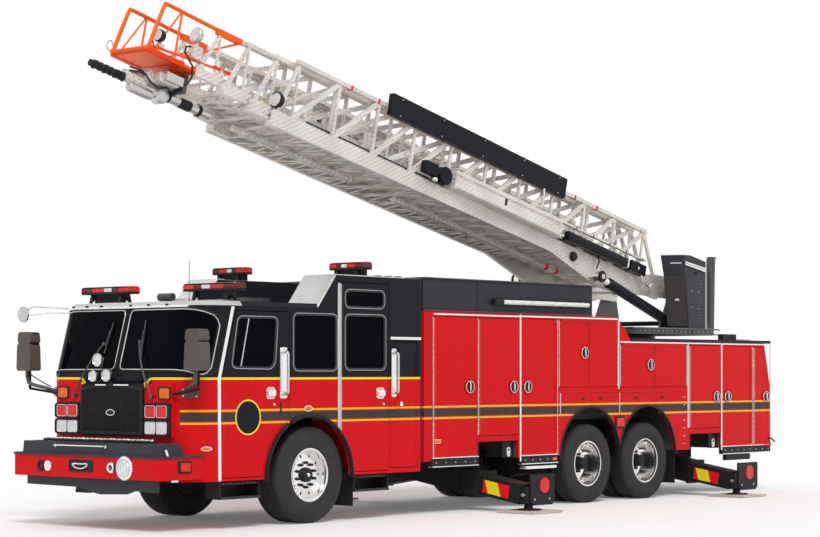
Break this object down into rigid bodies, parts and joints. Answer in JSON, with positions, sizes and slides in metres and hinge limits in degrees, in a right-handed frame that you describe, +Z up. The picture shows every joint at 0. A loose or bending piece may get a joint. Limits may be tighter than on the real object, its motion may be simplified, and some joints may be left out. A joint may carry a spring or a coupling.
{
  "type": "fire engine with an aerial ladder",
  "caption": "Fire truck with a tandem rear axle, a telescopic ladder on a turntable, side lockers, opening doors and swing-down outriggers.",
  "frame": {"origin": "on the ground, under the middle of the whole outline", "axes": "+X to the vehicle's left side, +Y to its rear, +Z up"},
  "size_m": [4.39, 12.297, 5.946],
  "materials": {
    "red_paint": "gloss",
    "black_paint": "satin",
    "frame_black": "satin",
    "ladder_white": "satin",
    "grey_paint": "satin",
    "bright_metal": "polished",
    "tyre": "matt",
    "dark_glass": "tinted"
  },
  "bodies": {
    "chassis": {"chassis_frame": "frame_black", "engine_block": "grey_paint", "front_axle": "frame_black", "rear_axles": "frame_black", "bumper": "red_paint", "cab_front": "bright_metal", "cab_shell": "red_paint", "windscreen": "dark_glass", "body_shell": "red_paint"},
    "knuckle_left": {"knuckle_left": "frame_black"},
    "front_wheel_left": {"front_wheel_left": "tyre"},
    "rear_wheel_left_1": {"rear_wheel_left_1": "tyre"},
    "rear_wheel_left_2": {"rear_wheel_left_2": "tyre"},
    "front_door_left": {"front_door_left": "red_paint"},
    "crew_door_left": {"crew_door_left": "red_paint"},
    "cab_locker_door_left": {"cab_locker_door_left": "red_paint"},
    "locker_1_door_left": {"locker_1_door_left": "red_paint"},
    "locker_2_door_left": {"locker_2_door_left": "red_paint"},
    "locker_3_door_left": {"locker_3_door_left": "red_paint"},
    "locker_4_door_left": {"locker_4_door_left": "red_paint"},
    "locker_5_door_left": {"locker_5_door_left": "red_paint"},
    "locker_6_door_left": {"locker_6_door_left": "red_paint"},
    "locker_7_door_left": {"locker_7_door_left": "red_paint"},
    "locker_8_door_left": {"locker_8_door_left": "red_paint"},
    "outrigger_housing_front_left": {"outrigger_housing_front_left": "frame_black"},
    "outrigger_beam_front_left": {"outrigger_beam_front_left": "frame_black"},
    "outrigger_housing_rear_left": {"outrigger_housing_rear_left": "frame_black"},
    "outrigger_beam_rear_left": {"outrigger_beam_rear_left": "frame_black"},
    "knuckle_right": {"knuckle_right": "frame_black"},
    "front_wheel_right": {"front_wheel_right": "tyre"},
    "rear_wheel_right_1": {"rear_wheel_right_1": "tyre"},
    "rear_wheel_right_2": {"rear_wheel_right_2": "tyre"},
    "front_door_right": {"front_door_right": "red_paint"},
    "crew_door_right": {"crew_door_right": "red_paint"},
    "cab_locker_door_right": {"cab_locker_door_right": "red_paint"},
    "locker_1_door_right": {"locker_1_door_right": "red_paint"},
    "locker_2_door_right": {"locker_2_door_right": "red_paint"},
    "locker_3_door_right": {"locker_3_door_right": "red_paint"},
    "locker_4_door_right": {"locker_4_door_right": "red_paint"},
    "locker_5_door_right": {"locker_5_door_right": "red_paint"},
    "locker_6_door_right": {"locker_6_door_right": "red_paint"},
    "locker_7_door_right": {"locker_7_door_right": "red_paint"},
    "locker_8_door_right": {"locker_8_door_right": "red_paint"},
    "outrigger_housing_front_right": {"outrigger_housing_front_right": "frame_black"},
    "outrigger_beam_front_right": {"outrigger_beam_front_right": "frame_black"},
    "outrigger_housing_rear_right": {"outrigger_housing_rear_right": "frame_black"},
    "outrigger_beam_rear_right": {"outrigger_beam_rear_right": "frame_black"},
    "turntable": {"turntable": "grey_paint", "console": "black_paint"},
    "base_section": {"base_section": "ladder_white"},
    "outer_mid_section": {"outer_mid_section": "ladder_white"},
    "inner_mid_section": {"inner_mid_section": "ladder_white"},
    "fly_section": {"fly_section": "ladder_white"},
    "lift_barrels": {"lift_barrels": "black_paint"},
    "lift_rods": {"lift_rod_left": "bright_metal", "lift_rod_right": "bright_metal"}
  },
  "joints": [
    {"name": "steering_left", "type": "hinge", "parent": "chassis", "child": "knuckle_left", "pos_m": [0.74, -3.7485, 0.56], "axis": [0, 0, 1], "range_deg": [-35, 35]},
    {"name": "front_wheel_left_spin", "type": "hinge", "parent": "knuckle_left", "child": "front_wheel_left", "pos_m": [0.74, -3.7485, 0.56], "axis": [1, 0, 0], "continuous": true},
    {"name": "rear_wheel_left_1_spin", "type": "hinge", "parent": "chassis", "child": "rear_wheel_left_1", "pos_m": [0.905, 1.6315, 0.525], "axis": [1, 0, 0], "continuous": true},
    {"name": "rear_wheel_left_2_spin", "type": "hinge", "parent": "chassis", "child": "rear_wheel_left_2", "pos_m": [0.905, 2.9615, 0.525], "axis": [1, 0, 0], "continuous": true},
    {"name": "front_door_left_hinge", "type": "hinge", "parent": "chassis", "child": "front_door_left", "pos_m": [1.2575, -5.2095, 1.2], "axis": [0, 0, -1], "range_deg": [0, 75]},
    {"name": "crew_door_left_hinge", "type": "hinge", "parent": "chassis", "child": "crew_door_left", "pos_m": [1.2575, -3.2795, 1.2], "axis": [0, 0, -1], "range_deg": [0, 80]},
    {"name": "cab_locker_door_left_hinge", "type": "hinge", "parent": "chassis", "child": "cab_locker_door_left", "pos_m": [1.2575, -1.9075, 1.3], "axis": [0, 0, 1], "range_deg": [0, 90]},
    {"name": "locker_1_door_left_hinge", "type": "hinge", "parent": "chassis", "child": "locker_1_door_left", "pos_m": [1.2575, -1.6125, 1.553], "axis": [0, 0, -1], "range_deg": [0, 90]},
    {"name": "locker_2_door_left_hinge", "type": "hinge", "parent": "chassis", "child": "locker_2_door_left", "pos_m": [1.2575, -0.7415, 1.688], "axis": [0, 0, -1], "range_deg": [0, 90]},
    {"name": "locker_3_door_left_hinge", "type": "hinge", "parent": "chassis", "child": "locker_3_door_left", "pos_m": [1.2575, 0.8645, 1.553], "axis": [0, 0, 1], "range_deg": [0, 90]},
    {"name": "locker_4_door_left_hinge", "type": "hinge", "parent": "chassis", "child": "locker_4_door_left", "pos_m": [1.2575, 1.5745, 2.441], "axis": [0, -1, 0], "range_deg": [0, 90]},
    {"name": "locker_5_door_left_hinge", "type": "hinge", "parent": "chassis", "child": "locker_5_door_left", "pos_m": [1.2575, 3.0925, 2.136], "axis": [0, -1, 0], "range_deg": [0, 90]},
    {"name": "locker_6_door_left_hinge", "type": "hinge", "parent": "chassis", "child": "locker_6_door_left", "pos_m": [1.2575, 3.9845, 1.539], "axis": [0, 0, -1], "range_deg": [0, 90]},
    {"name": "locker_7_door_left_hinge", "type": "hinge", "parent": "chassis", "child": "locker_7_door_left", "pos_m": [1.2575, 5.5975, 1.399], "axis": [0, 0, 1], "range_deg": [0, 90]},
    {"name": "locker_8_door_left_hinge", "type": "hinge", "parent": "chassis", "child": "locker_8_door_left", "pos_m": [1.2575, 5.6675, 1.396], "axis": [0, 0, -1], "range_deg": [0, 90]},
    {"name": "outrigger_swing_front_left", "type": "hinge", "parent": "chassis", "child": "outrigger_housing_front_left", "pos_m": [-0.62, -0.3455, 0.623], "axis": [0, -1, 0], "range_deg": [0, 10]},
    {"name": "outrigger_slide_front_left", "type": "slide", "parent": "outrigger_housing_front_left", "child": "outrigger_beam_front_left", "axis": [-0.9874, 0, 0.1582], "range_m": [0, 0.65]},
    {"name": "outrigger_swing_rear_left", "type": "hinge", "parent": "chassis", "child": "outrigger_housing_rear_left", "pos_m": [-0.62, 4.3935, 0.623], "axis": [0, -1, 0], "range_deg": [0, 10]},
    {"name": "outrigger_slide_rear_left", "type": "slide", "parent": "outrigger_housing_rear_left", "child": "outrigger_beam_rear_left", "axis": [-0.9874, 0, 0.1582], "range_m": [0, 0.65]},
    {"name": "steering_right", "type": "hinge", "parent": "chassis", "child": "knuckle_right", "pos_m": [-0.74, -3.7485, 0.56], "axis": [0, 0, 1], "range_deg": [-35, 35]},
    {"name": "front_wheel_right_spin", "type": "hinge", "parent": "knuckle_right", "child": "front_wheel_right", "pos_m": [-0.74, -3.7485, 0.56], "axis": [1, 0, 0], "continuous": true},
    {"name": "rear_wheel_right_1_spin", "type": "hinge", "parent": "chassis", "child": "rear_wheel_right_1", "pos_m": [-0.905, 1.6315, 0.525], "axis": [1, 0, 0], "continuous": true},
    {"name": "rear_wheel_right_2_spin", "type": "hinge", "parent": "chassis", "child": "rear_wheel_right_2", "pos_m": [-0.905, 2.9615, 0.525], "axis": [1, 0, 0], "continuous": true},
    {"name": "front_door_right_hinge", "type": "hinge", "parent": "chassis", "child": "front_door_right", "pos_m": [-1.2575, -5.2095, 1.2], "axis": [0, 0, 1], "range_deg": [0, 75]},
    {"name": "crew_door_right_hinge", "type": "hinge", "parent": "chassis", "child": "crew_door_right", "pos_m": [-1.2575, -3.2795, 1.2], "axis": [0, 0, 1], "range_deg": [0, 80]},
    {"name": "cab_locker_door_right_hinge", "type": "hinge", "parent": "chassis", "child": "cab_locker_door_right", "pos_m": [-1.2575, -1.9075, 1.3], "axis": [0, 0, -1], "range_deg": [0, 90]},
    {"name": "locker_1_door_right_hinge", "type": "hinge", "parent": "chassis", "child": "locker_1_door_right", "pos_m": [-1.2575, -1.6125, 1.553], "axis": [0, 0, 1], "range_deg": [0, 90]},
    {"name": "locker_2_door_right_hinge", "type": "hinge", "parent": "chassis", "child": "locker_2_door_right", "pos_m": [-1.2575, -0.7415, 1.688], "axis": [0, 0, 1], "range_deg": [0, 90]},
    {"name": "locker_3_door_right_hinge", "type": "hinge", "parent": "chassis", "child": "locker_3_door_right", "pos_m": [-1.2575, 0.8645, 1.553], "axis": [0, 0, -1], "range_deg": [0, 90]},
    {"name": "locker_4_door_right_hinge", "type": "hinge", "parent": "chassis", "child": "locker_4_door_right", "pos_m": [-1.2575, 1.5745, 2.441], "axis": [0, 1, 0], "range_deg": [0, 90]},
    {"name": "locker_5_door_right_hinge", "type": "hinge", "parent": "chassis", "child": "locker_5_door_right", "pos_m": [-1.2575, 3.0925, 2.136], "axis": [0, 1, 0], "range_deg": [0, 90]},
    {"name": "locker_6_door_right_hinge", "type": "hinge", "parent": "chassis", "child": "locker_6_door_right", "pos_m": [-1.2575, 3.9845, 1.539], "axis": [0, 0, 1], "range_deg": [0, 90]},
    {"name": "locker_7_door_right_hinge", "type": "hinge", "parent": "chassis", "child": "locker_7_door_right", "pos_m": [-1.2575, 5.5975, 1.399], "axis": [0, 0, -1], "range_deg": [0, 90]},
    {"name": "locker_8_door_right_hinge", "type": "hinge", "parent": "chassis", "child": "locker_8_door_right", "pos_m": [-1.2575, 5.6675, 1.396], "axis": [0, 0, 1], "range_deg": [0, 90]},
    {"name": "outrigger_swing_front_right", "type": "hinge", "parent": "chassis", "child": "outrigger_housing_front_right", "pos_m": [0.62, -0.3455, 0.623], "axis": [0, 1, 0], "range_deg": [0, 10]},
    {"name": "outrigger_slide_front_right", "type": "slide", "parent": "outrigger_housing_front_right", "child": "outrigger_beam_front_right", "axis": [0.9874, 0, 0.1582], "range_m": [0, 0.65]},
    {"name": "outrigger_swing_rear_right", "type": "hinge", "parent": "chassis", "child": "outrigger_housing_rear_right", "pos_m": [0.62, 4.3935, 0.623], "axis": [0, 1, 0], "range_deg": [0, 10]},
    {"name": "outrigger_slide_rear_right", "type": "slide", "parent": "outrigger_housing_rear_right", "child": "outrigger_beam_rear_right", "axis": [0.9874, 0, 0.1582], "range_m": [0, 0.65]},
    {"name": "turntable_turn", "type": "hinge", "parent": "chassis", "child": "turntable", "pos_m": [0, 3.8515, 2.28], "axis": [0, 0, 1], "continuous": true},
    {"name": "ladder_elevation", "type": "hinge", "parent": "turntable", "child": "base_section", "pos_m": [0, 4.6015, 2.95], "axis": [-1, 0, 0], "range_deg": [-13.2, 61.8]},
    {"name": "extension_1", "type": "slide", "parent": "base_section", "child": "outer_mid_section", "axis": [0, -0.9736, 0.2284], "range_m": [0, 6.6]},
    {"name": "extension_2", "type": "slide", "parent": "outer_mid_section", "child": "inner_mid_section", "axis": [0, -0.9736, 0.2284], "range_m": [0, 6.6]},
    {"name": "extension_3", "type": "slide", "parent": "inner_mid_section", "child": "fly_section", "axis": [0, -0.9736, 0.2284], "range_m": [0, 6.6]},
    {"name": "lift_cylinder_pivot", "type": "hinge", "parent": "turntable", "child": "lift_barrels", "pos_m": [0, 4.3115, 2.455], "axis": [-1, 0, 0], "range_deg": [-12.33, 57.52]},
    {"name": "lift_cylinder_stroke", "type": "slide", "parent": "lift_barrels", "child": "lift_rods", "axis": [0, -0.944, 0.33], "range_m": [-0.1215, 0.5668]}
  ],
  "couplings": [
    {"joint": "steering_right", "follows": "steering_left", "ratio": 1},
    {"joint": "extension_2", "follows": "extension_1", "ratio": 1},
    {"joint": "extension_3", "follows": "extension_1", "ratio": 1},
    {"joint": "lift_cylinder_pivot", "follows": "ladder_elevation", "ratio": 0.93},
    {"joint": "lift_cylinder_stroke", "follows": "ladder_elevation", "m_per_rad": 0.525}
  ]
}
